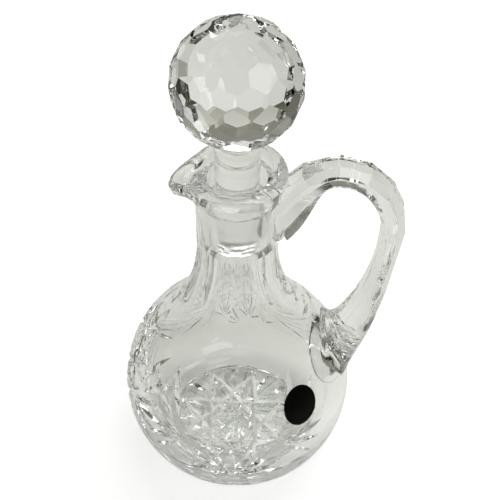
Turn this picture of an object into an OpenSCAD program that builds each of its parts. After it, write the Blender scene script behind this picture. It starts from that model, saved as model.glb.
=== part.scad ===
// Altar cruet in cut lead crystal: a ball-shaped bottle with a pulled pouring lip,
// an applied handle, a facet-cut ball stopper in a ground neck and a small oval foil label.
// Millimetres, +Z up. The bottle stands on Z = 0 with its axis on Z, the handle
// points along +X and the star-cut front faces -Y.

/* [Bowl] */
// Radius of the round bowl at its widest
bowl_r = 40; // [36:0.5:44]
// Height of the bowl's widest circle above the table
bowl_z = 26.5; // [25:0.5:29]
// Thickness of the glass in the bowl and shoulder
wall = 6; // [5.5:0.25:7.5]
// Thickness of the glass under the bowl
floor_t = 8; // [6:0.5:10]
// Rounding between the inside floor and the inside wall
floor_round = 8; // [5:0.5:11]
// Rounding of the heel, where the bowl meets the table
heel_r = 1.6; // [0.8:0.2:2.4]

/* [Neck] */
// Radius of the neck
neck_r = 13.5; // [12.5:0.25:15]
// Radius of the hollow sweep from bowl to neck
shoulder_r = 55; // [48:1:60]
// Number of flat flutes that the full round of the neck is divided into
flute_count = 8; // [6:1:10]
// Depth of a flute at its middle
flute_depth = 1.1; // [0.6:0.1:1.3]
// Height of the flutes' deepest point
flute_z = 92; // [90:0.5:94]
// How much smaller the flutes' grinding wheel is than the sweep, as a radius
flute_less = 7; // [5:0.5:10]

/* [Lip] */
// Height of the rim above the table
rim_z = 124.6; // [122:0.2:130]
// Outer radius of the rim
rim_r = 16.2; // [15.5:0.1:17.5]
// Radius of the rolled bead of the rim
bead_r = 2.6; // [2:0.1:3]
// Height of the pulled lip above the straight neck
lip_h = 16; // [14:0.5:18]
// How far the pouring spout reaches from the axis
spout_reach = 22; // [19:0.25:24]
// How far the tip of the spout droops below the rim
spout_drop = 2.6; // [0:0.2:4]
// How far the spout is turned from straight opposite the handle
spout_turn = 12; // [0:1:20]
// Half-width of the spout, as an angle round the rim
spout_spread = 25; // [18:1:32]

/* [Stopper] */
// Diameter of the ball over its cut edges
ball_d = 42; // [38:0.5:44]
// Height of the ball's centre above the rim
ball_rise = 32.7; // [30:0.1:36]
// Facets in each ring of the ball
ring_facets = 12; // [10:1:14]
// Angle between neighbouring rings of facets
ring_step = 19; // [17:0.5:21]
// Diameter of the smooth shank between ball and neck
shank_d = 14.6; // [13:0.2:15]
// Length of the ground taper in the neck
ground_l = 16.5; // [14:0.5:20]
// Diameter of the ground plug at its lower end
plug_end_d = 13; // [11.5:0.25:13.5]
// Widening of the ground plug's diameter over its length
plug_taper = 1.6; // [1.2:0.1:2]
// Room left round the ground plug in the neck
plug_room = 0.1; // [0.06:0.02:0.2]
// Length of plug that stands clear below the ground seat
plug_nose = 2.5; // [1:0.25:3.5]

/* [Handle] */
// Height of the top joint's middle on the neck
joint_z = 101; // [99:0.5:104]
// Height of the arch's middle line at its top
arch_z = 124.2; // [121:0.2:128]
// Distance of the arch's top from the axis
arch_x = 32; // [29:0.5:36]
// Distance of the middle line from the axis at its widest
handle_x = 50.5; // [47:0.5:56]
// Height of the handle's widest point
handle_z = 102; // [97:0.5:106]
// Angle of the foot above the bowl's widest circle
foot_lat = 30; // [27:0.5:33]
// Angle at which the handle rises from the neck
joint_lean = 42; // [38:1:46]
// Angle at which the handle comes down to its foot
foot_lean = 51.7; // [48:0.1:56]
// Thickness of the handle seen from the side
handle_t = 9; // [7.5:0.25:10.5]
// Width of the handle seen from its back
handle_w = 11; // [9:0.25:13]

/* [Cut pattern] */
// Number of mitres, and so of points, in each star
star_points = 8; // [7:1:9]
// Depth of the long mitres that draw the stars
star_depth = 1.4; // [1:0.1:1.8]
// Distance of a star's mitres from the star's centre
star_in = 7.4; // [6:0.1:8.5]
// How far a star's mitres run to either side of their middle
star_reach = 17; // [14:0.5:18]
// Angle of the stars' centres above the bowl's widest circle
star_lat = 24; // [20:0.5:27]
// Depth of the leaf cuts in the fans
leaf_depth = 1; // [0.6:0.1:1.3]
// Number of leaf cuts in the low fan under a star
low_leaves = 7; // [5:2:9]
// Angle between neighbouring leaves in a low fan
low_step = 22; // [18:1:24]
// Number of leaf cuts in the fan at either side of a star
side_leaves = 6; // [4:1:7]
// Angle between neighbouring leaves in a side fan
side_step = 23; // [20:1:25]
// Included angle of a mitre cut
mitre_angle = 112; // [100:2:124]
// Rays of the star under the base
base_rays = 16; // [12:2:20]
// Depth of the base star at its centre
base_depth = 1.8; // [1:0.1:2.4]
// Plain glass left between the rays' ends and the edge of the base
base_edge = 4; // [3:0.25:7]

/* [Label] */
// Width of the oval foil label
label_w = 13; // [10:0.2:14]
// Height of the oval foil label
label_h = 14.2; // [12:0.2:16]
// Thickness of the foil label
label_t = 0.2; // [0.15:0.05:0.3]
// Direction of the label round the bowl, from the handle
label_turn = -50.5; // [-53:0.5:-45]
// Angle of the label's centre above the bowl's widest circle
label_lat = 25.5; // [22:0.5:28]
// Lean of the label from upright
label_lean = 20; // [-30:1:30]

/* [Hidden] */
eps = 0.01;
crystal = [0.86, 0.88, 0.87, 0.55];

// Outer bowl, shoulder sweep and neck meet tangent to each other
base_r = sqrt(bowl_r * bowl_r - bowl_z * bowl_z);
sweep_x = neck_r + shoulder_r;
sweep_z = bowl_z + sqrt(pow(bowl_r + shoulder_r, 2) - sweep_x * sweep_x);
join_k = bowl_r / (bowl_r + shoulder_r);
join_x = sweep_x * join_k;
join_z = bowl_z + (sweep_z - bowl_z) * join_k;

// The pulled lip starts lower than the straight tube inside it ends
lip_foot = rim_z - lip_h;
lip_lap = 3.4;
tube_top = lip_foot + lip_lap;

// Ground seat in the neck, one clearance larger than the plug
seat_top = tube_top;
seat_end = seat_top - ground_l;
plug_top_r = plug_end_d / 2 + plug_taper / 2;
plug_end_r = plug_end_d / 2;
seat_top_r = plug_top_r + plug_room;
seat_end_r = plug_end_r + plug_room;
plug_foot = seat_end - plug_nose;
nose_room = 1;

// Hollow of the bowl, one wall inside the outer form
in_r = bowl_r - wall;
in_sweep_r = shoulder_r + wall;
in_neck_r = neck_r - wall;
in_neck_z = min(sweep_z, plug_foot - nose_room);
in_join_x = sweep_x * in_r / (bowl_r + shoulder_r);
in_join_z = bowl_z + (sweep_z - bowl_z) * in_r / (bowl_r + shoulder_r);
corner_z = floor_t + floor_round;
corner_x = sqrt(pow(in_r - floor_round, 2) - pow(corner_z - bowl_z, 2));
corner_k = in_r / (in_r - floor_round);
corner_end = [corner_x * corner_k, bowl_z + (corner_z - bowl_z) * corner_k];

// Rim bead and mouth
bead_x = rim_r - bead_r;
bead_z = rim_z - bead_r;
mouth_r = rim_r - 2 * bead_r;
spout_at = 180 + spout_turn;
spout_pull = spout_reach - rim_r;
flute_wheel = shoulder_r - flute_less;
handle_clear = 40;
base_star_r = base_r - base_edge;

// Where the fans start on the bowl, and how far out their leaves lie
low_lat = -14;
low_reach = 11;
side_turn = 25;
side_lat = 10;
side_start = 18;
long_reach = 17;
short_reach = 9.5;

// Ball of the stopper
ball_r = ball_d / 2;
ball_z = rim_z + ball_rise;
cell_share = 0.42;
half_cell = sqrt(pow(180 / ring_facets, 2) + pow(ring_step * cell_share, 2));
facet_h = ball_r * cos(half_cell);
last_ring_lat = 76;
ring_n = floor(last_ring_lat / ring_step);
shank_r = shank_d / 2;
ball_foot = ball_z - ball_r;

// Outline of half the bottle from the axis, as a filled shape
module outer_half() {
    difference() {
        union() {
            intersection() {
                translate([0, bowl_z]) circle(bowl_r, $fn = 240);
                square([bowl_r + 1, join_z]);
            }
            difference() {
                translate([0, join_z - eps]) square([join_x, sweep_z - join_z + eps]);
                translate([sweep_x, sweep_z]) circle(shoulder_r, $fn = 360);
            }
            translate([0, sweep_z - eps]) square([neck_r, tube_top - sweep_z + eps]);
        }
        translate([-2 * bowl_r, -1]) square([2 * bowl_r, 2 * rim_z]);
        heel_corner();
    }
}

// Sharp corner of the heel, outside its rounding
module heel_corner() {
    heel_x = sqrt(pow(bowl_r - heel_r, 2) - pow(bowl_z - heel_r, 2));
    touch_k = bowl_r / (bowl_r - heel_r);
    touch = [heel_x * touch_k, bowl_z + (heel_r - bowl_z) * touch_k];
    difference() {
        polygon([[heel_x, -1], [heel_x, heel_r], touch, [base_r + 3, touch[1]], [base_r + 3, -1]]);
        translate([heel_x, heel_r]) circle(heel_r, $fn = 96);
    }
}

// Hollow of the bottle, from the floor to the mouth of the ground seat
module hollow_half() {
    difference() {
        union() {
            intersection() {
                translate([0, bowl_z]) circle(in_r, $fn = 240);
                translate([0, corner_end[1]]) square([bowl_r, in_join_z - corner_end[1]]);
            }
            translate([0, floor_t]) square([corner_x, floor_round]);
            polygon([[0, corner_z], [corner_x, corner_z], corner_end, [0, bowl_z]]);
            translate([corner_x, corner_z]) circle(floor_round, $fn = 120);
            difference() {
                translate([0, in_join_z - eps]) square([in_join_x, sweep_z - in_join_z + eps]);
                translate([sweep_x, sweep_z]) circle(in_sweep_r, $fn = 360);
            }
            polygon([[0, in_neck_z], [in_neck_r, in_neck_z], [seat_end_r, seat_end],
                [seat_top_r, seat_top], [seat_top_r, seat_top + 1], [0, seat_top + 1]]);
            translate([0, plug_foot - nose_room]) square([seat_end_r, plug_nose + nose_room]);
        }
        translate([-2 * bowl_r, -1]) square([2 * bowl_r, 2 * rim_z]);
    }
}

module outer_form() {
    rotate_extrude($fn = 180) outer_half();
    pulled_lip();
}

// The lip is a ring whose section is drawn round the axis and pulled out at the spout
// (each point holds its radius, its height and its share of the pull)
function bead_arc(n) = [for (i = [0 : n]) let (a = -20 + 220 * i / n)
    [bead_x + bead_r * cos(a), bead_z + bead_r * sin(a), 1]];
lip_section = concat(
    [[neck_r - 1, lip_foot, 0], [neck_r - 0.1, lip_foot + lip_h * 0.15, 0.02],
     [neck_r + 0.5, lip_foot + lip_h * 0.35, 0.12], [neck_r + 1.3, lip_foot + lip_h * 0.54, 0.38],
     [rim_r - 0.5, lip_foot + lip_h * 0.7, 0.74]],
    bead_arc(10),
    [[mouth_r - 0.9, rim_z - lip_h * 0.32, 0.7], [seat_top_r + 1.4, rim_z - lip_h * 0.52, 0.32],
     [seat_top_r + 0.5, seat_top + 0.6, 0.08], [seat_top_r + 0.4, seat_top - 1.2, 0],
     [seat_top_r + 2, lip_foot + 0.4, 0]]);
lip_n = len(lip_section);
lip_m = 72;
function turn_gap(a) = let (d = (a - spout_at + 900) % 360 - 180) d;
function lobe(a) = let (d = turn_gap(a) / spout_spread) 1.3 * exp(-d * d) - 0.3 * exp(-d * d / 4);
function lip_point(p, a) =
    let (k = lobe(a) * p[2], r = p[0] + spout_pull * k, z = p[1] - spout_drop * max(k, 0))
    [r * cos(a), r * sin(a), z];
module pulled_lip() {
    pts = [for (j = [0 : lip_m - 1]) for (i = [0 : lip_n - 1]) lip_point(lip_section[i], 360 * j / lip_m)];
    faces = [for (j = [0 : lip_m - 1]) for (i = [0 : lip_n - 1])
        let (here = j * lip_n, next = ((j + 1) % lip_m) * lip_n, i2 = (i + 1) % lip_n,
             a = here + i, b = here + i2, c = next + i2, d = next + i)
        each [[a, b, c], [a, c, d]]];
    polyhedron(points = pts, faces = faces);
}

// V-shaped cutter as long as the bowl's radius: its edge lies on X, the opening faces +Z
// and its depth is measured from Z = 0
module mitre(depth) {
    top = 4;
    half = (depth + top) * tan(mitre_angle / 2);
    rotate([90, 0, 90]) linear_extrude(bowl_r, center = true)
        polygon([[0, -depth], [half, top], [-half, top]]);
}

// Long mitre along X that follows the bowl, ground in two strokes
module long_mitre(depth, reach) {
    stroke = (reach - sqrt(2 * bowl_r * depth)) / bowl_r * 180 / PI;
    for (side = [-1, 1])
        translate([0, 0, -bowl_r]) rotate([0, side * stroke, 0]) translate([0, 0, bowl_r])
            mitre(depth);
}

// Puts a cutter on the bowl at a direction and an angle above the widest circle,
// turned on the surface and moved along it
module on_bowl(turn, lat, spin, away) {
    translate([0, 0, bowl_z]) rotate([0, 0, turn]) rotate([0, -lat, 0]) rotate([spin, 0, 0])
        rotate([0, -away / bowl_r * 180 / PI, 0]) translate([bowl_r, 0, 0]) rotate([0, 90, 0]) children();
}

// Star of long crossing mitres, all at one distance from its centre
module star(turn) {
    for (k = [0 : star_points - 1])
        on_bowl(turn, star_lat, 360 / star_points * k, star_in) rotate([0, 0, 90])
            long_mitre(star_depth, star_reach);
}

// Fan of leaf cuts that spread upwards from a point under a star
module low_fan(turn) {
    for (k = [0 : low_leaves - 1]) let (spread = (k - (low_leaves - 1) / 2) * low_step)
        on_bowl(turn, low_lat, spread, low_reach) mitre(leaf_depth);
}

// Fan of leaf cuts at one side of a star, the first two long and deep
module side_fan(turn, hand) {
    for (k = [0 : side_leaves - 1]) let (spread = side_start + k * side_step)
        on_bowl(turn + hand * side_turn, side_lat, -hand * spread, k < 2 ? long_reach : short_reach)
            mitre(leaf_depth * (k < 2 ? 1 : 0.8));
}

// Flat flute ground into the neck and the start of the shoulder by a broad wheel
module flute(turn) {
    rotate([0, 0, turn]) translate([neck_r - flute_depth + flute_wheel, 0, flute_z]) rotate([90, 0, 0])
        cylinder(r = flute_wheel, h = 2 * neck_r, center = true, $fn = 240);
}
module flutes() {
    for (k = [0 : flute_count - 1]) let (a = (k + 0.5) * 360 / flute_count)
        if (min(a, 360 - a) > handle_clear) flute(a);
}

// Star of separate rays under the base, each deepest near its outer end
module base_star() {
    for (k = [0 : base_rays - 1]) rotate([0, 0, (k + 0.5) * 360 / base_rays]) base_ray();
}
module base_ray() {
    mid = base_star_r * 0.86;
    half = min(base_depth * tan(mitre_angle / 2), mid * tan(180 / base_rays) * 0.92);
    polyhedron(points = [[1.5, 0, 0], [mid, -half, 0], [base_star_r, 0, 0], [mid, half, 0],
            [mid, 0, base_depth], [mid, 0, -1]],
        faces = [[0, 4, 1], [1, 4, 2], [2, 4, 3], [3, 4, 0], [0, 1, 5], [1, 2, 5], [2, 3, 5], [3, 0, 5]]);
}

module bottle_body() {
    color(crystal) difference() {
        outer_form();
        rotate_extrude($fn = 180) hollow_half();
        flutes();
        for (a = [-90, 180, 90]) {
            star(a);
            low_fan(a);
            side_fan(a, 1);
            side_fan(a, -1);
        }
        base_star();
    }
}

// Middle line of the handle: three cubic curves through the neck joint, the top of the
// arch, the widest point and the foot on the bowl, with both ends sunk into the wall
sink = wall * 2 / 3;
foot_sink = wall * 7 / 6;
joint_p = [neck_r - sink, joint_z];
arch_p = [arch_x, arch_z];
wide_p = [handle_x, handle_z];
foot_p = [(bowl_r - foot_sink) * cos(foot_lat), bowl_z + (bowl_r - foot_sink) * sin(foot_lat)];
rise_pull = 0.45 * norm(arch_p - joint_p);
arch_pull = 0.53 * (arch_x - joint_p[0]);
round_pull = 0.56;
leg_pull = 0.34 * norm(wide_p - foot_p);
curves = [
    [joint_p, joint_p + rise_pull * [cos(joint_lean), sin(joint_lean)], arch_p - [arch_pull, 0], arch_p],
    [arch_p, arch_p + [round_pull * (handle_x - arch_x), 0],
     wide_p + [0, round_pull * (arch_z - handle_z)], wide_p],
    [wide_p, wide_p - [0, leg_pull], foot_p + leg_pull * [cos(foot_lean), sin(foot_lean)], foot_p]];
function cubic(c, t) =
    pow(1 - t, 3) * c[0] + 3 * t * pow(1 - t, 2) * c[1] + 3 * t * t * (1 - t) * c[2] + pow(t, 3) * c[3];
function slope(c, t) =
    3 * pow(1 - t, 2) * (c[1] - c[0]) + 6 * t * (1 - t) * (c[2] - c[1]) + 3 * t * t * (c[3] - c[2]);
function leg(s) = min(floor(s), 2);
function mid_at(s) = cubic(curves[leg(s)], s - leg(s));

// Half thickness and half width along the handle, with a foot that flares where it meets the bowl
thick_shape = [[0, 1.95], [0.35, 1.5], [0.7, 1.12], [1, 1], [1.6, 0.92], [2, 0.86],
    [2.35, 0.84], [2.6, 0.96], [2.8, 1.1], [3, 1.2]];
wide_shape = [[0, 1.3], [0.4, 1.1], [1, 1], [2, 0.94], [2.45, 1], [2.7, 1.1], [3, 1.2]];
foot_s = 3 - foot_sink / (2.8 * leg_pull);
function flare(s) = min(1.3 * exp((s - foot_s) / 0.05), 1.6);
function thick_at(s) = handle_t / 2 * (lookup(s, thick_shape) + 0.3 * flare(s));
function wide_at(s) = handle_w / 2 * (lookup(s, wide_shape) + flare(s));

// The foot's sections turn to lie along the bowl, with a heel that runs down it
out_of_bowl = [cos(foot_lat), sin(foot_lat)];
down_bowl = [sin(foot_lat), -cos(foot_lat)];
heel_shape = [[2.4, 0], [2.6, 0.24], [2.7, 0.44], [2.8, 0.7], [foot_s, 0.94], [3, 1.1]];
function heel(s) = handle_t * lookup(s, heel_shape);
function seat(s) = lookup(s, [[2.55, 0], [foot_s, 1]]);
function out_at(s) =
    let (v = slope(curves[leg(s)], s - leg(s)),
         q = [-v[1], v[0]] / norm(v) * (1 - seat(s)) + down_bowl * seat(s))
    q / norm(q);

// Section with a round inside, and a back cut in three flats whose corners run straight between ridges,
// round all over at the foot
ridges = [0, 0.4, 0.7, 1, 1.28, 1.56, 1.8, 2, 2.4, 2.65, 2.75, 2.8, 2.84, 2.87, 2.9, 2.95, 3];
function panel(s) = max([for (i = [0 : len(ridges) - 2]) if (ridges[i] <= s) i]);
function corner(s, side, height) =
    let (up = height * (thick_at(s) + (height > 0 ? heel(s) : 0)), across = side * wide_at(s),
         bend = seat(s) * (across * across + up * up) / (2 * bowl_r),
         q = mid_at(s) + out_at(s) * up - out_of_bowl * bend)
    [q[0], across, q[1]];
function panelled(s, side, height) =
    let (i = panel(s), f = (s - ridges[i]) / (ridges[i + 1] - ridges[i]))
    corner(ridges[i], side, height) * (1 - f) + corner(ridges[i + 1], side, height) * f;
back = [[1, 0.4], [0.55, 1], [0, 1], [-0.55, 1], [-1, 0.4]];
function back_corner(s, p) =
    let (r = lookup(s, [[2.4, 0], [2.62, 1]]), q = 1.06 * p / norm(p))
    panelled(s, p[0], p[1]) * (1 - r) + corner(s, q[0], q[1]) * r;
flat_start = atan2(0.4, 1);
round_n = 7;
section_n = len(back) + round_n - 1;
function section(s) = concat(
    [for (p = back) back_corner(s, p)],
    [for (i = [1 : round_n - 1]) let (a = 180 - flat_start + (180 + 2 * flat_start) * i / round_n)
        corner(s, 1.06 * cos(a), 1.04 * sin(a))]);
// Sections stand at the ridges and halfway between them
stations = [for (i = [0 : 2 * len(ridges) - 2])
    (ridges[floor(i / 2)] + ridges[ceil(i / 2)]) / 2];

module handle_bar() {
    n = len(stations);
    pts = [for (s = stations) each section(s)];
    m = section_n;
    sides = [for (j = [0 : n - 2]) for (i = [0 : m - 1])
        let (a = m * j + i, b = m * j + (i + 1) % m) each [[a, b, b + m], [a, b + m, a + m]]];
    caps = [[for (i = [m - 1 : -1 : 0]) i], [for (i = [0 : m - 1]) m * (n - 1) + i]];
    polyhedron(points = pts, faces = concat(sides, caps));
}

// Filled neck, so that nothing of the handle is left in its bore
module neck_core() {
    cylinder(r = (neck_r + seat_top_r) / 2, h = rim_z);
}

module handle() {
    color(crystal) difference() {
        handle_bar();
        outer_form();
        neck_core();
    }
}

// Ball cut all over in flat facets, in staggered rings
module facet(turn, lat) {
    rotate([0, 0, turn]) rotate([0, -lat, 0]) translate([facet_h, -ball_r, -ball_r])
        cube([ball_r, 2 * ball_r, 2 * ball_r]);
}
module cut_ball() {
    difference() {
        sphere(ball_r, $fn = 180);
        for (ring = [-(ring_n - 1) : ring_n]) for (k = [0 : ring_facets - 1])
            facet((k + (ring % 2 == 0 ? 0 : 0.5)) * 360 / ring_facets, ring * ring_step);
        facet(0, 90);
    }
}

// Smooth shank above the rim, ground taper plug in the neck
module shank() {
    edge = 0.8;
    rotate_extrude($fn = 120) polygon([[0, plug_foot], [plug_end_r - edge, plug_foot],
        [plug_end_r, plug_foot + edge], [plug_end_r, seat_end], [plug_top_r, seat_top],
        [shank_r, seat_top + 1], [shank_r, ball_foot + 2.5],
        [shank_r + 1.2, ball_foot + 4], [0, ball_foot + 4]]);
}
module stopper() {
    color(crystal) union() {
        translate([0, 0, ball_z]) cut_ball();
        shank();
    }
}

// Foil oval that follows the bowl
function oval(w, h) = [for (i = [0 : 59]) [w / 2 * cos(6 * i), h / 2 * sin(6 * i)]];
module oval_label() {
    color([0.07, 0.07, 0.05]) intersection() {
        translate([0, 0, bowl_z]) difference() {
            sphere(bowl_r + label_t, $fn = 240);
            sphere(bowl_r, $fn = 240);
        }
        on_bowl(label_turn, label_lat, 0, 0) rotate([0, 0, 90 - label_lean])
            linear_extrude(bowl_r / 2, center = true) polygon(oval(label_w, label_h));
    }
}

bottle_body();
handle();
stopper();
oval_label();
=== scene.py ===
"""Looks of the altar cruet: a cut crystal bottle with its handle, a ball stopper and a foil label."""
from math import atan2, cos, exp, hypot, pi, radians, sin, sqrt, tan

import bmesh
import bpy
from mathutils import Matrix, Vector


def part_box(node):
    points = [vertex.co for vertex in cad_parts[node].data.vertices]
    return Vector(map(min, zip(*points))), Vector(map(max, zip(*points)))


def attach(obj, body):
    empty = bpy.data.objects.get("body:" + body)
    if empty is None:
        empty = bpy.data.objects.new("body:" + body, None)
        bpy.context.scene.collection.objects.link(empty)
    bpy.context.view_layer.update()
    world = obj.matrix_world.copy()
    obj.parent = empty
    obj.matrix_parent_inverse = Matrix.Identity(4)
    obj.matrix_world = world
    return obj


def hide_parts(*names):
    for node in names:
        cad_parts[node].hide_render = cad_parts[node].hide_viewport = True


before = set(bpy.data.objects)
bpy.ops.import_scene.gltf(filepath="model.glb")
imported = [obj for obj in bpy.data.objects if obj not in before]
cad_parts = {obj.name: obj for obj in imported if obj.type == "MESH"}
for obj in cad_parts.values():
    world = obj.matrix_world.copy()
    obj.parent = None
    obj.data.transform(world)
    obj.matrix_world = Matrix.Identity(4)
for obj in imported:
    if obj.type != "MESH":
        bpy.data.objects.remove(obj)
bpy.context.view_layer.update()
mm = 0.001

# Sizes of the bottle, in metres. The bowl and the rim are read from the frame.
body_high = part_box("bottle_body")[1]
bowl_r = body_high.y
rim_z = body_high.z
bowl_z = 26.5 * mm
wall = 6 * mm
floor_t = 8 * mm
heel_r = 1.6 * mm
neck_r = 13.5 * mm
shoulder_r = 55 * mm
flute_count = 8
flute_depth = 1.1 * mm
flute_z = 92 * mm
flute_wheel = 48 * mm
handle_clear = radians(40)
rim_r = 16.2 * mm
bead_r = 2.6 * mm
lip_h = 16 * mm
bore_r = 9.5 * mm
bore_flare = 0.2 * mm
bore_step = 0.4 * mm
bore_blend = 2.2 * mm
spout_reach = 22 * mm
spout_drop = 2.6 * mm
spout_at = radians(192)
spout_spread = radians(25)
spout_h = 0.8 * lip_h
spout_rise = 2.6

# Ground seat of the stopper
seat_top = rim_z - lip_h + 3.4 * mm
seat_end = seat_top - 16.5 * mm
plug_end_r = 6.5 * mm
plug_top_r = 7.3 * mm
plug_room = 0.1 * mm
plug_nose = 2.5 * mm

# Stopper above the rim
ball_d = 42 * mm
ball_z = rim_z + 32.7 * mm
ring_facets = 12
ring_step = radians(19)
ring_n = 4
facet_share = 0.42
shank_r = 7.3 * mm
shank_sink = 4 * mm

# Handle, and the pad of glass at its foot
joint_z = 101 * mm
arch_z = 124.2 * mm
arch_x = 32 * mm
handle_x = 50.5 * mm
handle_z = 102 * mm
joint_lean = radians(42)
foot_lat = radians(30)
foot_lean = radians(51.7)
handle_t = 9 * mm
handle_w = 11 * mm
pad_half_h = 12 * mm
pad_half_w = 18.5 * mm
pad_out = 0.5 * mm
pad_in = -1.2 * mm
pad_edge = 10
pad_rise = radians(5)

# Cut pattern
star_points = 8
star_depth = 1 * mm
star_in = 7.4 * mm
star_reach = 17 * mm
star_lat = radians(24)
hatch_depth = 0.12 * mm
hatch_gap = 1.6 * mm
hatch_share = 0.55
hatch_least = 2 * mm
mitre_half = radians(56)
base_rays = 16
base_depth = 1.8 * mm
base_edge = 4 * mm
base_eye = 1.5 * mm
base_deepest = 0.86
base_apart = 0.92

# Fans of leaf cuts: places and directions in degrees, then each leaf's reach and depth in millimetres
low_fan_lat = -14
side_fan_turn = 25
side_fan_lat = 10
low_leaves = [(spread, 11, 1) for spread in (-66, -44, -22, 0, 22, 44, 66)]
side_leaves = [(18, 17, 1), (41, 17, 1)] + [(spread, 9.5, 0.8) for spread in (64, 87, 110, 133)]
panel_sides = (-90, 180, 90)

# Label
label_w = 13 * mm
label_h = 14.2 * mm
label_t = 0.2 * mm
label_glue = 0.03 * mm
label_press = 0.06 * mm
label_turn = radians(-50.5)
label_lat = radians(25.5)
label_lean = radians(20)

# Outer bowl, shoulder sweep and neck meet tangent to each other
sweep_x = neck_r + shoulder_r
sweep_z = bowl_z + sqrt((bowl_r + shoulder_r) ** 2 - sweep_x ** 2)
join_angle = atan2(sweep_z - bowl_z, sweep_x)
base_r = sqrt(bowl_r ** 2 - bowl_z ** 2)
lip_foot = rim_z - lip_h


# Drawing helpers

def only(piece):
    """Selects one piece and nothing else."""
    bpy.ops.object.select_all(action="DESELECT")
    piece.select_set(True)
    bpy.context.view_layer.objects.active = piece


def fresh(add, **sizes):
    """Adds a primitive with nothing else selected."""
    bpy.ops.object.select_all(action="DESELECT")
    add(**sizes)
    return bpy.context.object


def settle(piece, name):
    """Names a piece and puts its place, turn and size into its mesh."""
    only(piece)
    bpy.ops.object.transform_apply(location=True, rotation=True, scale=True)
    piece.name = name
    piece.data.name = name
    return piece


def arc(x, z, radius, start, end, steps):
    """Points of an arc in the outline's plane, from one angle to another."""
    angles = [start + (end - start) / steps * i for i in range(steps + 1)]
    return [(x + radius * cos(angle), z + radius * sin(angle)) for angle in angles]


def line(start, end, steps):
    """Points of a straight stretch without its ends."""
    return [tuple(a + (b - a) * i / steps for a, b in zip(start, end)) for i in range(1, steps)]


def flowing(points, steps):
    """Points of a smooth curve through the given ones."""
    ends = [points[0]] + points + [points[-1]]
    curve = []
    for before, here, there, after in zip(ends, ends[1:], ends[2:], ends[3:]):
        for i in range(steps):
            t = i / steps
            curve.append(tuple(
                b + 0.5 * t * (c - a + t * (2 * a - 5 * b + 4 * c - d + t * (3 * (b - c) + d - a)))
                for a, b, c, d in zip(before, here, there, after)))
    return curve + [points[-1]]


def eased(s, start, end):
    """Share that grows smoothly from 0 at start to 1 at end."""
    t = min(max((s - start) / (end - start), 0), 1)
    return t * t * (3 - 2 * t)


def turned(name, outline, steps):
    """Draws an outline of radius and height by extruding a point, and spins it round Z."""
    start = (outline[0][0], 0, outline[0][1])
    piece = settle(fresh(bpy.ops.mesh.primitive_plane_add, size=mm, location=start), name)
    bpy.ops.object.mode_set(mode="EDIT")
    bpy.ops.mesh.select_all(action="SELECT")
    bpy.ops.mesh.merge(type="CENTER")
    for (r0, z0), (r1, z1) in zip(outline, outline[1:]):
        bpy.ops.mesh.extrude_vertices_move(TRANSFORM_OT_translate={"value": (r1 - r0, 0, z1 - z0)})
    bpy.ops.mesh.select_all(action="SELECT")
    bpy.ops.mesh.spin(steps=steps, angle=2 * pi, center=(0, 0, 0), axis=(0, 0, 1))
    bpy.ops.mesh.select_all(action="SELECT")
    bpy.ops.mesh.remove_doubles(threshold=0.001 * mm)
    bpy.ops.mesh.normals_make_consistent(inside=False)
    bpy.ops.object.mode_set(mode="OBJECT")
    return piece


def combine(piece, tool, operation, solver="MANIFOLD"):
    """Cuts a piece with a tool, or joins the two, and clears the tool away."""
    only(piece)
    step = piece.modifiers.new("combine", "BOOLEAN")
    step.object = tool
    step.operation = operation
    step.solver = solver
    step.material_mode = "TRANSFER"
    bpy.ops.object.modifier_apply(modifier=step.name)
    bpy.data.objects.remove(tool)
    return piece


def dress(piece, *materials):
    """Gives a piece these materials in order."""
    piece.data.materials.clear()
    for material in materials:
        piece.data.materials.append(material)


def on_bowl(turn, lat, spin, away):
    """Place on the bowl by direction and height, turned on the surface and moved along it.

    Local Z points out of the bowl.
    """
    return (Matrix.Translation((0, 0, bowl_z)) @ Matrix.Rotation(turn, 4, "Z") @ Matrix.Rotation(-lat, 4, "Y")
            @ Matrix.Rotation(spin, 4, "X") @ Matrix.Rotation(-away / bowl_r, 4, "Y")
            @ Matrix.Translation((bowl_r, 0, 0)) @ Matrix.Rotation(pi / 2, 4, "Y"))


def swept(name, sections):
    """Bar drawn by extruding a polygon from section to section."""
    bar = fresh(bpy.ops.mesh.primitive_circle_add, vertices=len(sections[0]), radius=mm, fill_type="NGON")
    bar.name = name
    for vertex, corner in zip(bar.data.vertices, sections[0]):
        vertex.co = corner
    bpy.ops.object.mode_set(mode="EDIT")
    bpy.ops.mesh.select_all(action="SELECT")
    for section in sections[1:]:
        bpy.ops.mesh.extrude_region_move()
        shape = bmesh.from_edit_mesh(bar.data)
        shape.verts.ensure_lookup_table()
        for vertex, corner in zip(shape.verts[-len(section):], section):
            vertex.co = corner
        bmesh.update_edit_mesh(bar.data)
    bpy.ops.mesh.select_all(action="SELECT")
    bpy.ops.mesh.normals_make_consistent(inside=False)
    bpy.ops.object.mode_set(mode="OBJECT")
    return bar


def mitre(place, depth, reach):
    """V-edged bar that follows the bowl and grinds a mitre along local X at place, shallow at both ends."""
    above = 0.6 * mm
    clear = 0.05 * mm
    steps = 12
    sections = []
    for i in range(steps + 1):
        share = 2 * i / steps - 1
        angle = share * reach / bowl_r
        low = bowl_r - depth * (1 - share ** 4) + clear * share ** 4
        half = (bowl_r + above - low) * tan(mitre_half)
        high = bowl_r + above
        corners = [(low, 0), (high, half), (high, -half)]
        sections.append([Vector((r * sin(angle), side, r * cos(angle) - bowl_r)) for r, side in corners])
    bar = swept("mitre wheel", sections)
    bar.data.transform(place)
    return bar


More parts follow.
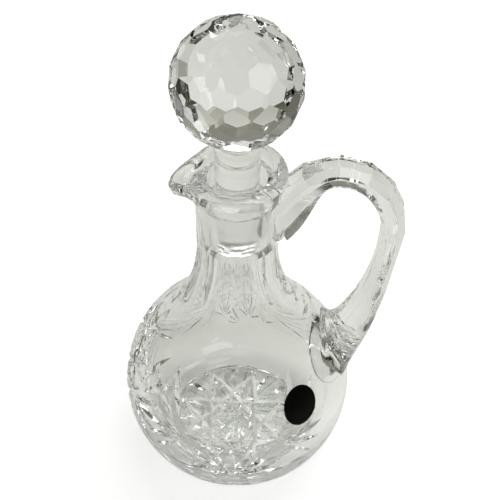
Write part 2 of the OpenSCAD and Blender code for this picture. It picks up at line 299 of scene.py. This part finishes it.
def leaf(place, depth):
    """Straight V edge that grinds a leaf into the round bowl along local X at place."""
    length = 40 * mm
    height = depth + 4 * mm
    bar = fresh(bpy.ops.mesh.primitive_cylinder_add, vertices=4, radius=height, depth=length,
                rotation=(0, pi / 2, 0))
    settle(bar, "leaf wheel")
    wide = Matrix.Diagonal((1, tan(mitre_half), 1, 1))
    bar.data.transform(place @ Matrix.Translation((0, 0, height - depth)) @ wide)
    return bar


# Bottle

def bottle_outline():
    """Radius and height along the glass, from the middle of the base up the outside and down the inside."""
    heel_x = sqrt((bowl_r - heel_r) ** 2 - (bowl_z - heel_r) ** 2)
    heel_end = atan2(heel_r - bowl_z, heel_x)
    bead_x = rim_r - bead_r
    bead_z = rim_z - bead_r
    seat_top_r = plug_top_r + plug_room
    seat_end_r = plug_end_r + plug_room
    outside = [(0, 0)] + line((0, 0), (heel_x, 0), 12)
    outside += arc(heel_x, heel_r, heel_r, -pi / 2, heel_end, 8)
    outside += arc(0, bowl_z, bowl_r, heel_end, join_angle, 56)[1:]
    outside += arc(sweep_x, sweep_z, shoulder_r, pi + join_angle, pi, 40)[1:]
    outside += line((neck_r, sweep_z), (neck_r, lip_foot), 10)
    lip = flowing([(neck_r, lip_foot), (neck_r + 0.1 * mm, lip_foot + 0.15 * lip_h),
                   (neck_r + 0.5 * mm, lip_foot + 0.35 * lip_h), (neck_r + 1.3 * mm, lip_foot + 0.54 * lip_h),
                   (rim_r - 0.5 * mm, lip_foot + 0.7 * lip_h)], 5)
    bead = arc(bead_x, bead_z, bead_r, radians(-20), radians(200), 40)
    mouth = flowing([bead[-1], (bore_r + bore_flare, rim_z - 0.26 * lip_h)], 4)[1:]
    mouth += line(mouth[-1], (bore_r, seat_top + bore_step), 12)
    mouth += [(bore_r, seat_top + bore_step), (bore_r - bore_step, seat_top)]
    mouth += line(mouth[-1], (seat_top_r, seat_top), 3) + [(seat_top_r, seat_top)]
    seat = line((seat_top_r, seat_top), (seat_end_r, seat_end), 10) + [(seat_end_r, seat_end)]
    in_r = bowl_r - wall
    low = radians(-16)
    inside = flowing([(seat_end_r, seat_end), (neck_r - wall, sweep_z)], 6)[1:-1]
    inside += arc(sweep_x, sweep_z, shoulder_r + wall, pi, pi + join_angle, 40)
    inside += arc(0, bowl_z, in_r, join_angle, low, 44)[1:-1]
    # The wall runs round into the floor, which dips in a ring at its edge
    ring = 22.4 * mm
    inside += flowing([(in_r * cos(low), bowl_z + in_r * sin(low)), (30.8 * mm, floor_t + 6 * mm),
                       (27.8 * mm, floor_t + 3.5 * mm), (25.4 * mm, floor_t + 2.1 * mm),
                       (ring + 1.3 * mm, floor_t + 0.7 * mm), (ring + 0.4 * mm, floor_t - 0.9 * mm),
                       (ring - 0.4 * mm, floor_t - 1.5 * mm), (ring - 1.3 * mm, floor_t - 1.2 * mm),
                       (ring - 2 * mm, floor_t - 0.3 * mm), (ring - 2.8 * mm, floor_t)], 5)
    inside += line((ring - 2.8 * mm, floor_t), (0, floor_t), 10) + [(0, floor_t)]
    return outside + lip + bead + mouth + seat + inside


def pull_spout(bottle):
    """Pulls the lip out and down into a spout, most at the rim, not at the lip's foot or in the bore."""
    for vertex in bottle.data.vertices:
        share = (vertex.co.z - lip_foot) / spout_h
        if share > 0:
            angle = atan2(vertex.co.y, vertex.co.x)
            off = ((angle - spout_at + 3 * pi) % (2 * pi) - pi) / spout_spread
            # The lip draws in a little on each side of the pull
            pull = (1.3 * exp(-off * off) - 0.3 * exp(-off * off / 4)) * min(share, 1) ** spout_rise
            pull *= eased(hypot(vertex.co.x, vertex.co.y), bore_r + bore_flare, bore_r + bore_blend)
            reach = (spout_reach - rim_r) * pull
            vertex.co.x += reach * cos(angle)
            vertex.co.y += reach * sin(angle)
            vertex.co.z -= spout_drop * max(pull, 0)


def flutes():
    """Broad wheels that grind flat flutes into the neck, clear of the handle."""
    wheels = []
    for k in range(flute_count):
        turn = (k + 0.5) * 2 * pi / flute_count
        if min(turn, 2 * pi - turn) > handle_clear:
            wheel = fresh(bpy.ops.mesh.primitive_cylinder_add, vertices=512, radius=flute_wheel,
                          depth=2 * neck_r)
            wheel.data.transform(Matrix.Rotation(turn, 4, "Z")
                                 @ Matrix.Translation((neck_r - flute_depth + flute_wheel, 0, flute_z))
                                 @ Matrix.Rotation(pi / 2, 4, "X"))
            wheels.append(wheel)
    return wheels


def star():
    """Long crossing mitres of a star, all at one distance from its centre, over fine crossed hatching."""
    crosswise = Matrix.Rotation(pi / 2, 4, "Z")
    cuts = [mitre(on_bowl(0, star_lat, 2 * pi / star_points * k, star_in) @ crosswise, star_depth, star_reach)
            for k in range(star_points)]
    field = hypot(star_in, star_reach) * hatch_share
    rows = int(field / hatch_gap)
    for spin in (pi / 4, 3 * pi / 4):
        for k in range(-rows, rows + 1):
            away = (k + 0.5) * hatch_gap
            reach = sqrt(max(field ** 2 - away ** 2, 0))
            if reach > hatch_least:
                cuts.append(mitre(on_bowl(0, star_lat, spin, away) @ crosswise, hatch_depth, reach))
    return cuts


def fan(turn, lat, leaves):
    """Leaf cuts that spread from one point of the bowl, each by direction off upright, reach and depth."""
    return [leaf(on_bowl(radians(turn), radians(lat), radians(spread), reach * mm), depth * mm)
            for spread, reach, depth in leaves]


def base_star():
    """Separate rays of the star under the base, each deepest part of the way out."""
    rays = []
    reach = base_r - base_edge
    deepest = base_deepest * reach
    half = min(base_depth * tan(mitre_half), deepest * tan(pi / base_rays) * base_apart)
    for k in range(base_rays):
        ray = fresh(bpy.ops.mesh.primitive_uv_sphere_add, segments=4, ring_count=2, radius=1)
        for vertex in ray.data.vertices:
            x, y, z = vertex.co
            out = base_eye if x < -0.5 else reach if x > 0.5 else deepest
            vertex.co = (out, y * half, z * base_depth)
        ray.data.transform(Matrix.Rotation((k + 0.5) * 2 * pi / base_rays, 4, "Z"))
        rays.append(ray)
    return rays


def as_one(tools):
    """Joins cutting tools into one."""
    for tool in tools[1:]:
        combine(tools[0], tool, "UNION")
    return tools[0]


def repeated(tool, sides):
    """Copies of a tool turned round the bottle to each side, in degrees."""
    copies = []
    for side in sides:
        copy = bpy.data.objects.new(tool.name, tool.data.copy())
        bpy.context.scene.collection.objects.link(copy)
        copy.data.transform(Matrix.Rotation(radians(side), 4, "Z"))
        copies.append(copy)
    bpy.data.objects.remove(tool)
    return copies


def make_bottle():
    """Blown bottle with its flutes, stars, fans and base star cut."""
    bottle = turned("cut_bottle", bottle_outline(), steps=192)
    pull_spout(bottle)
    mirrored = [(-spread, reach, depth) for spread, reach, depth in side_leaves]
    fans = fan(0, low_fan_lat, low_leaves)
    fans += fan(-side_fan_turn, side_fan_lat, side_leaves) + fan(side_fan_turn, side_fan_lat, mirrored)
    panel = as_one(star() + fans)
    tools = repeated(panel, panel_sides) + flutes() + base_star()
    return combine(bottle, as_one(tools), "DIFFERENCE")


# Handle: its middle line is three curves, from the joint at the neck over the arch and the widest point to
# the foot. A place s along it counts curves, so it runs from 0 at the joint to 3 at the foot.

sink = wall * 2 / 3
foot_sink = wall * 7 / 6
joint_p = Vector((neck_r - sink, joint_z))
arch_p = Vector((arch_x, arch_z))
wide_p = Vector((handle_x, handle_z))
foot_p = Vector(((bowl_r - foot_sink) * cos(foot_lat), bowl_z + (bowl_r - foot_sink) * sin(foot_lat)))
rise_pull = 0.45 * (arch_p - joint_p).length
leg_pull = 0.34 * (wide_p - foot_p).length
curves = [
    (joint_p, joint_p + rise_pull * Vector((cos(joint_lean), sin(joint_lean))),
     arch_p - Vector((0.53 * (arch_x - joint_p.x), 0)), arch_p),
    (arch_p, arch_p + Vector((0.56 * (handle_x - arch_x), 0)),
     wide_p + Vector((0, 0.56 * (arch_z - handle_z))), wide_p),
    (wide_p, wide_p - Vector((0, leg_pull)),
     foot_p + leg_pull * Vector((cos(foot_lean), sin(foot_lean))), foot_p),
]
# Thickness and width by place, as shares of handle_t and handle_w
thick_shape = [(0, 1.95), (0.35, 1.5), (0.7, 1.12), (1, 1), (1.6, 0.92), (2, 0.86),
               (2.35, 0.84), (2.6, 0.96), (2.8, 1.1), (3, 1.2)]
wide_shape = [(0, 1.3), (0.4, 1.1), (1, 1), (2, 0.94), (2.45, 1), (2.7, 1.1), (3, 1.2)]
# Corners of the flats round the section, by side and height, at the joint and along the rest
cut_back = [(1, 0.4), (0.55, 1), (-0.55, 1), (-1, 0.4)]
joint_flats = cut_back + [(-0.97, -0.2), (-0.2, -1.04), (0.2, -1.04), (0.97, -0.2)]
arch_flats = cut_back + [(-0.85, -0.6), (-0.45, -1.02), (0.45, -1.02), (0.85, -0.6)]
flat_steps = 6
flats_change = (0.3, 0.75)
flats_fade = (2.4, 2.62)
round_size = 1.06
# Places where the panels of the cut back meet
ridges = [0, 0.4, 0.7, 1, 1.28, 1.56, 1.8, 2, 2.4, 2.65, 2.75, 2.8, 2.84, 2.87, 2.9, 2.95, 3]
ridge_steps = 6
# The foot meets the bowl at foot_s, where it spreads, thickens and is rippled
foot_s = 3 - foot_sink / (2.8 * leg_pull)
out_of_bowl = Vector((cos(foot_lat), sin(foot_lat)))
down_bowl = Vector((sin(foot_lat), -cos(foot_lat)))
foot_turn = (2.5, foot_s + 0.05)
spread_share = 1.3
spread_most = 1.6
spread_length = 0.05
spread_thick = 0.3
ripple_share = 0.025
ripple_length = 0.032
ripple_start = (2.7, 2.78)
heel_share = 0.94
heel_start = 2.4
heel_rise = 1.6


def looked_up(s, shape):
    """Value at s on a smooth curve through the points of a shape."""
    points = [shape[0]] + shape + [shape[-1]]
    for before, here, there, after in zip(points, points[1:], points[2:], points[3:]):
        if s <= there[0]:
            break
    width = there[0] - here[0]
    t = (s - here[0]) / width
    start = width * (there[1] - before[1]) / (there[0] - before[0])
    end = width * (after[1] - here[1]) / (after[0] - here[0])
    return ((1 - t) ** 2 * (here[1] * (1 + 2 * t) + start * t)
            + t * t * (there[1] * (3 - 2 * t) - end * (1 - t)))


def flare(s):
    """How much the foot spreads at s, most at the bowl, with ripples from pressing the hot glass on."""
    ripple = ripple_share * sin((s - foot_s) * 2 * pi / ripple_length) * eased(s, *ripple_start)
    return min(spread_share * exp((s - foot_s) / spread_length), spread_most) + ripple


def handle_corner(s, side, height):
    """Corner of the handle's section at s along its middle line. The foot turns to lie along the bowl."""
    leg = min(int(s), 2)
    t = s - leg
    a, b, c, d = curves[leg]
    middle = (1 - t) ** 3 * a + 3 * t * (1 - t) ** 2 * b + 3 * t * t * (1 - t) * c + t ** 3 * d
    along = 3 * (1 - t) ** 2 * (b - a) + 6 * t * (1 - t) * (c - b) + 3 * t * t * (d - c)
    seat = eased(s, *foot_turn)
    outward = Vector((-along.y, along.x)).normalized().lerp(down_bowl, seat).normalized()
    thick = (looked_up(s, thick_shape) + spread_thick * flare(s)) / 2
    if height > 0:
        thick += heel_share * (max(s - heel_start, 0) / (foot_s - heel_start)) ** heel_rise
    up = height * handle_t * thick
    across = side * handle_w / 2 * (looked_up(s, wide_shape) + flare(s))
    bend = seat * (across ** 2 + up ** 2) / (2 * bowl_r)
    spot = middle + outward * up - out_of_bowl * bend
    return Vector((spot.x, across, spot.y))


def panel_corner(s, side, height):
    """Corner on the cut back of the handle, which runs straight from ridge to ridge."""
    start = max(r for r in ridges[:-1] if r <= s)
    end = ridges[ridges.index(start) + 1]
    share = (s - start) / (end - start)
    return handle_corner(start, side, height).lerp(handle_corner(end, side, height), share)


def handle_section(s):
    """Corners round the handle at s: flats all round, in straight panels on the back, rounder at the foot."""
    change = eased(s, *flats_change)
    roundness = eased(s, *flats_fade)
    flats = [Vector(start).lerp(Vector(end), change) for start, end in zip(joint_flats, arch_flats)]
    corners = []
    for spot, following in zip(flats, flats[1:] + flats[:1]):
        for step in range(flat_steps):
            flat = spot.lerp(following, step / flat_steps)
            corner = panel_corner if flat.y > 0 else handle_corner
            smooth = handle_corner(s, *flat.normalized() * round_size)
            corners.append(corner(s, *flat).lerp(smooth, roundness))
    return corners


def make_pad():
    """Thin oval of glass, pressed flat against the bowl round the handle's foot."""
    pad = fresh(bpy.ops.mesh.primitive_uv_sphere_add, segments=96, ring_count=48, radius=1)
    for vertex in pad.data.vertices:
        x = vertex.co.x * pad_half_h
        y = vertex.co.y * pad_half_w
        face = pad_out if vertex.co.z > 0 else pad_in
        lift = face * sqrt(max(1 - hypot(vertex.co.x, vertex.co.y) ** pad_edge, 0))
        vertex.co = (x, y, sqrt(bowl_r ** 2 - x * x - y * y) - bowl_r + lift)
    pad.data.transform(on_bowl(0, foot_lat + pad_rise, 0, 0))
    return pad


def make_handle():
    """Bar of glass drawn along the handle's middle line, trimmed out of the bore and the bowl."""
    stations = [a + (b - a) * i / ridge_steps for a, b in zip(ridges, ridges[1:]) for i in range(ridge_steps)]
    bar = swept("loop_handle", [handle_section(s) for s in stations + [ridges[-1]]])
    combine(bar, make_pad(), "UNION")
    bore = fresh(bpy.ops.mesh.primitive_cylinder_add, vertices=96, radius=(neck_r + plug_top_r) / 2,
                 depth=2 * rim_z)
    combine(bar, bore, "DIFFERENCE")
    hollow = fresh(bpy.ops.mesh.primitive_uv_sphere_add, segments=96, ring_count=48,
                   radius=bowl_r - wall / 2, location=(0, 0, bowl_z))
    return combine(bar, settle(hollow, "hollow"), "DIFFERENCE")


def fuse(bottle, bar, bottle_glass, bar_glass):
    """Melts the handle onto the bottle, so that no air is left between them, and parts them at the seam.

    The second material marks the faces of the handle.
    """
    dress(bottle, bottle_glass)
    dress(bar, bar_glass)
    combine(bottle, bar, "UNION", solver="EXACT")
    only(bottle)
    bpy.ops.object.mode_set(mode="EDIT")
    bpy.ops.mesh.select_mode(type="FACE")
    bpy.ops.mesh.select_all(action="DESELECT")
    bottle.active_material_index = 1
    bpy.ops.object.material_slot_select()
    bpy.ops.mesh.separate(type="SELECTED")
    bpy.ops.object.mode_set(mode="OBJECT")
    return [piece for piece in bpy.context.selected_objects if piece != bottle][0]


def close_seam(piece, joint_slot):
    """Closes a piece where it was parted, with faces that stand for fused glass and bend no light."""
    only(piece)
    bpy.ops.object.mode_set(mode="EDIT")
    bpy.ops.mesh.select_mode(type="EDGE")
    bpy.ops.mesh.select_all(action="DESELECT")
    bpy.ops.mesh.select_non_manifold(extend=False, use_wire=False, use_multi_face=False,
                                     use_non_contiguous=False, use_verts=False)
    bpy.ops.mesh.fill_holes(sides=0)
    piece.active_material_index = joint_slot
    bpy.ops.object.material_slot_assign()
    bpy.ops.object.mode_set(mode="OBJECT")


# Stopper

def make_stopper():
    """Ball cut all over in flat facets, on a shank with a ground plug."""
    ball = fresh(bpy.ops.mesh.primitive_uv_sphere_add, segments=96, ring_count=64, radius=ball_d / 2)
    ball.name = "ball_stopper"
    half_cell = hypot(pi / ring_facets, ring_step * facet_share)
    facet_h = ball_d / 2 * cos(half_cell)
    directions = [(0, pi / 2)]
    for ring in range(1 - ring_n, ring_n + 1):
        for k in range(ring_facets):
            directions.append(((k + 0.5 * (ring % 2)) * 2 * pi / ring_facets, ring * ring_step))
    for turn, lat in directions:
        disc = fresh(bpy.ops.mesh.primitive_cube_add, size=ball_d, location=(facet_h + ball_d / 2, 0, 0))
        settle(disc, "facet wheel")
        disc.data.transform(Matrix.Rotation(turn, 4, "Z") @ Matrix.Rotation(-lat, 4, "Y"))
        combine(ball, disc, "DIFFERENCE")
    ball.data.transform(Matrix.Translation((0, 0, ball_z)))
    ball_foot = ball_z - ball_d / 2
    nose_steps = 16
    nose = [pi / (2 * nose_steps) * i for i in range(nose_steps + 1)]
    outline = [(plug_end_r * sin(angle), seat_end - plug_nose * cos(angle)) for angle in nose]
    outline += line((plug_end_r, seat_end), (plug_top_r, seat_top), 10) + [(plug_top_r, seat_top)]
    outline += flowing([(shank_r, seat_top + mm), (shank_r, ball_foot + mm),
                        (shank_r + 0.4 * mm, ball_foot + 2.6 * mm),
                        (shank_r + 1.2 * mm, ball_foot + shank_sink)], 6)
    outline += [(0, ball_foot + shank_sink)]
    return combine(ball, turned("shank", outline, steps=96), "UNION")


# Label

def make_label():
    """Oval of pressed foil that follows the bowl, with a low rim."""
    label = fresh(bpy.ops.mesh.primitive_circle_add, vertices=96, radius=0.5, fill_type="NGON")
    label.name = "foil_label"
    bpy.ops.object.mode_set(mode="EDIT")
    bpy.ops.mesh.select_all(action="SELECT")
    # Narrower rings at the edge carry the pressed rim
    for width in [0.02] * 6 + [0.03] * 10:
        bpy.ops.mesh.inset(thickness=width, depth=0)
    bpy.ops.object.mode_set(mode="OBJECT")
    rim_start, rim_end = 0.86, 0.95
    for vertex in label.data.vertices:
        out = 2 * hypot(vertex.co.x, vertex.co.y)
        x = vertex.co.x * label_w
        y = vertex.co.y * label_h
        rim = label_press if rim_start < out < rim_end else 0
        vertex.co = (x, y, sqrt(bowl_r ** 2 - x * x - y * y) - bowl_r + label_glue + rim)
    wall_step = label.modifiers.new("foil", "SOLIDIFY")
    wall_step.thickness = label_t - label_glue - label_press
    wall_step.offset = 1
    only(label)
    bpy.ops.object.modifier_apply(modifier=wall_step.name)
    label.data.transform(on_bowl(label_turn, label_lat, 0, 0) @ Matrix.Rotation(pi / 2 - label_lean, 4, "Z"))
    return label


# Materials

def linear(code):
    """Linear colour of an sRGB hex value."""
    levels = [int(code[i:i + 2], 16) / 255 for i in (1, 3, 5)]
    return [v / 12.92 if v <= 0.04045 else ((v + 0.055) / 1.055) ** 2.4 for v in levels] + [1]


def add_node(tree, kind, settings=None, values=None, links=None, stops=()):
    """Adds a node with its settings, socket values, links from other nodes' outputs, and colour stops."""
    node = tree.nodes.new(kind)
    for key, value in (settings or {}).items():
        setattr(node, key, value)
    for socket, value in (values or {}).items():
        node.inputs[socket].default_value = value
    for socket, source in (links or {}).items():
        tree.links.new(source, node.inputs[socket])
    for i, (place, code) in enumerate(stops):
        elements = node.color_ramp.elements
        element = elements[i] if i < len(elements) else elements.new(place)
        element.position = place
        element.color = linear(code)
    return node


def new_material(name):
    """Material with an empty node tree, and that tree."""
    material = bpy.data.materials.new(name)
    material.use_nodes = True
    material.node_tree.nodes.clear()
    return material, material.node_tree


def lead_crystal(finish, colour, roughness, grain, detail, bumpiness):
    """Lead crystal, clear, heavy and bright. Its finish gives it a roughness and a bump of some grain."""
    material, tree = new_material("lead crystal, " + finish)
    where = add_node(tree, "ShaderNodeTexCoord")
    noise = add_node(tree, "ShaderNodeTexNoise", values={"Scale": 1 / grain, "Detail": detail},
                     links={"Vector": where.outputs["Object"]})
    bump = add_node(tree, "ShaderNodeBump", values={"Strength": bumpiness, "Distance": 0.05 * mm},
                    links={"Height": noise.outputs["Fac"]})
    glass = add_node(tree, "ShaderNodeBsdfPrincipled",
                     values={"Base Color": linear(colour), "Roughness": roughness, "IOR": 1.55,
                             "Transmission Weight": 1.0},
                     links={"Normal": bump.outputs["Normal"]})
    add_node(tree, "ShaderNodeOutputMaterial", links={"Surface": glass.outputs["BSDF"]})
    return material


def crystal_fused():
    """Inside of the glass where the handle is melted onto the bottle: nothing to see."""
    material, tree = new_material("lead crystal, fused joint")
    clear = add_node(tree, "ShaderNodeBsdfPrincipled", values={"Base Color": linear("#FFFFFF"), "Alpha": 0.0})
    add_node(tree, "ShaderNodeOutputMaterial", links={"Surface": clear.outputs["BSDF"]})
    return material


def label_foil():
    """Pressed paper-backed foil, printed near-black and varnished, with a fine crinkle."""
    material, tree = new_material("label foil, black")
    where = add_node(tree, "ShaderNodeTexCoord")
    crinkle = add_node(tree, "ShaderNodeTexNoise", values={"Scale": 1 / (1.5 * mm), "Detail": 4.0},
                       links={"Vector": where.outputs["Object"]})
    tone = add_node(tree, "ShaderNodeValToRGB", links={"Fac": crinkle.outputs["Fac"]},
                    stops=[(0.0, "#030302"), (1.0, "#0E0D07")])
    bump = add_node(tree, "ShaderNodeBump", values={"Strength": 0.4, "Distance": 0.05 * mm},
                    links={"Height": crinkle.outputs["Fac"]})
    foil = add_node(tree, "ShaderNodeBsdfPrincipled",
                    values={"Roughness": 0.35, "Specular IOR Level": 0.06},
                    links={"Base Color": tone.outputs["Color"], "Normal": bump.outputs["Normal"]})
    add_node(tree, "ShaderNodeOutputMaterial", links={"Surface": foil.outputs["BSDF"]})
    return material


# Stage: floor, world, lamps and camera

def make_floor():
    """White sheet on a brown table. The camera sees white all over, and the glass shows the sheet itself with
    a painted glow of light, brightest under the base.
    """
    floor = fresh(bpy.ops.mesh.primitive_circle_add, vertices=64, radius=6, fill_type="NGON",
                  location=(0, 0, -0.05 * mm))
    settle(floor, "floor")
    material, tree = new_material("white table")
    where = add_node(tree, "ShaderNodeTexCoord")
    # The colour stops run from 0 at 1 m to the left or in front to 1 at 1 m to the right or behind
    spot = add_node(tree, "ShaderNodeMapping", values={"Location": (0.5, 0.5, 0), "Scale": (0.5, 0.5, 1)},
                    links={"Vector": where.outputs["Object"]})
    parts = add_node(tree, "ShaderNodeSeparateXYZ", links={"Vector": spot.outputs["Vector"]})
    across = add_node(tree, "ShaderNodeValToRGB", links={"Fac": parts.outputs["X"]},
                      stops=[(0.21, "#8D8B7E"), (0.27, "#EDEDEC"), (0.56, "#EDEDEC"), (0.66, "#8D8B7E"),
                             (0.71, "#37362C")])
    behind = add_node(tree, "ShaderNodeValToRGB", links={"Fac": parts.outputs["Y"]},
                      stops=[(0.45, "#FFFFFF"), (0.53, "#E2E3E0"), (0.62, "#E2E3E0"), (0.7, "#F1F1EF"),
                             (0.84, "#A7A69B")])
    tone = add_node(tree, "ShaderNodeMix", {"data_type": "RGBA", "blend_type": "MULTIPLY"}, values={0: 1.0},
                    links={6: across.outputs["Color"], 7: behind.outputs["Color"]})
    lit = add_node(tree, "ShaderNodeBsdfDiffuse", links={"Color": tone.outputs[2]})
    # Painted light: the sheet glows with an emission, strongest under the base, in place of the light that
    # the glass lets through to it; only reflections and the glass show this glow
    from_base = add_node(tree, "ShaderNodeVectorMath", {"operation": "LENGTH"},
                         links={0: where.outputs["Object"]})
    light = add_node(tree, "ShaderNodeMapRange",
                     values={"From Min": 30 * mm, "From Max": 70 * mm, "To Min": 0.36, "To Max": 0.17},
                     links={"Value": from_base.outputs["Value"]})
    painted_light_glow = add_node(tree, "ShaderNodeEmission",
                     links={"Color": tone.outputs[2], "Strength": light.outputs["Result"]})
    in_glass = add_node(tree, "ShaderNodeAddShader", links={0: lit.outputs[0], 1: painted_light_glow.outputs[0]})
    shaded = add_node(tree, "ShaderNodeBsdfDiffuse", values={"Color": linear("#A2A2A0")})
    glow = add_node(tree, "ShaderNodeEmission", values={"Color": linear("#FFFFFF"), "Strength": 0.8})
    seen = add_node(tree, "ShaderNodeAddShader", links={0: shaded.outputs[0], 1: glow.outputs[0]})
    ray = add_node(tree, "ShaderNodeLightPath")
    by_glass = add_node(tree, "ShaderNodeMath", {"operation": "ADD", "use_clamp": True},
                        links={0: ray.outputs["Is Glossy Ray"], 1: ray.outputs["Is Transmission Ray"]})
    inner = add_node(tree, "ShaderNodeMixShader",
                     links={0: by_glass.outputs[0], 1: lit.outputs[0], 2: in_glass.outputs[0]})
    shown = add_node(tree, "ShaderNodeMixShader",
                     links={0: ray.outputs["Is Camera Ray"], 1: inner.outputs[0], 2: seen.outputs[0]})
    add_node(tree, "ShaderNodeOutputMaterial", links={"Surface": shown.outputs[0]})
    floor.data.materials.append(material)


def make_world():
    """Plain dim room, darkest in front, which draws the dark lines in cut glass. The camera sees white."""
    world = bpy.data.worlds.new("studio")
    bpy.context.scene.world = world
    world.use_nodes = True
    tree = world.node_tree
    tree.nodes.clear()
    where = add_node(tree, "ShaderNodeTexCoord")
    front = add_node(tree, "ShaderNodeVectorMath", {"operation": "DOT_PRODUCT"}, values={1: (0.3, -0.9, 0.3)},
                     links={0: where.outputs["Generated"]})
    tone = add_node(tree, "ShaderNodeValToRGB", links={"Fac": front.outputs["Value"]},
                    stops=[(0.0, "#7E7D73"), (0.15, "#5E5D54"), (0.5, "#3A3931"), (0.9, "#201F1A")])
    room = add_node(tree, "ShaderNodeBackground", values={"Strength": 1.0},
                    links={"Color": tone.outputs["Color"]})
    white = add_node(tree, "ShaderNodeBackground", values={"Color": linear("#FFFFFF"), "Strength": 1.0})
    ray = add_node(tree, "ShaderNodeLightPath")
    shown = add_node(tree, "ShaderNodeMixShader",
                     links={0: ray.outputs["Is Camera Ray"], 1: room.outputs[0], 2: white.outputs[0]})
    add_node(tree, "ShaderNodeOutputWorld", links={"Surface": shown.outputs[0]})


def add_lamp(name, place, aim, size, power):
    """Square soft lamp at a place, turned towards a point."""
    lamp = bpy.data.lights.new(name, "AREA")
    lamp.size = size
    lamp.energy = power
    holder = bpy.data.objects.new(name, lamp)
    bpy.context.scene.collection.objects.link(holder)
    holder.location = place
    holder.rotation_euler = (Vector(aim) - Vector(place)).to_track_quat("-Z", "Y").to_euler()
    return holder


def make_camera(place, tilt, turn):
    """Camera at the photograph's viewing angle, tilted down and turned to the left."""
    lens = bpy.data.cameras.new("camera")
    lens.sensor_width = 36
    lens.lens = 96.3
    lens.shift_x = 0.0254
    lens.clip_start = 0.01
    camera = bpy.data.objects.new("camera", lens)
    bpy.context.scene.collection.objects.link(camera)
    camera.location = place
    camera.rotation_euler = (pi / 2 - tilt, 0, turn)
    bpy.context.scene.camera = camera


# Cut and acid-polished: clear, with a faint waviness from the polish that softens the lines seen through it
polished = lead_crystal("polished", "#FCFDFB", roughness=0.0, grain=7 * mm, detail=1.0, bumpiness=0.3)
# Ground with grit for the stopper's seat: frosted pale grey. The grit is drawn coarser than it is, to show
ground = lead_crystal("ground", "#FDFDFC", roughness=0.2, grain=0.5 * mm, detail=2.0, bumpiness=0.4)
fused = crystal_fused()
foil = label_foil()
ground_slot = 1
fused_slot = 2

bottle = make_bottle()
bar = make_handle()
stopper = make_stopper()
label = make_label()
handle = fuse(bottle, bar, polished, fused)
handle.name = "loop_handle"
dress(bottle, polished, ground, fused)
dress(handle, polished, polished, fused)
dress(stopper, polished, ground)
dress(label, foil)
close_seam(bottle, fused_slot)
close_seam(handle, fused_slot)

# Frosted where the stopper is ground into the neck
frost_low = seat_end - plug_nose - mm
frost_in = plug_end_r - mm
frost_out = plug_top_r + 0.3 * mm
for piece in (bottle, stopper):
    for face in piece.data.polygons:
        spot = face.center
        if frost_low < spot.z < seat_top and frost_in < hypot(spot.x, spot.y) < frost_out:
            face.material_index = ground_slot

# Cuts keep sharp edges, and the blown and drawn glass between them is smooth
sharp_angle = radians(12)
for piece, node, body in ((bottle, "bottle_body", "bottle"), (handle, "handle", "bottle"),
                          (stopper, "stopper", "stopper"), (label, "oval_label", "bottle")):
    only(piece)
    bpy.ops.object.shade_smooth_by_angle(angle=sharp_angle)
    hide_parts(node)
    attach(piece, body)

make_floor()
make_world()
key_lamp = add_lamp("key lamp", place=(0.25, 0.45, 0.85), aim=(0, 0, 0.08), size=1.0, power=9.2)
# Its reflection would stand as a white square in the facets
key_lamp.visible_glossy = False
add_lamp("fill lamp", place=(0.42, -0.5, 0.8), aim=(0, 0, 0.08), size=0.5, power=2.2)
make_camera(place=(16.84 * mm, -321.3 * mm, 394.57 * mm), tilt=radians(43.54), turn=radians(3))
scene = bpy.context.scene
scene.view_settings.view_transform = "Standard"
scene.cycles.max_bounces = 32
scene.cycles.transmission_bounces = 32
scene.cycles.glossy_bounces = 16
scene.cycles.transparent_max_bounces = 16
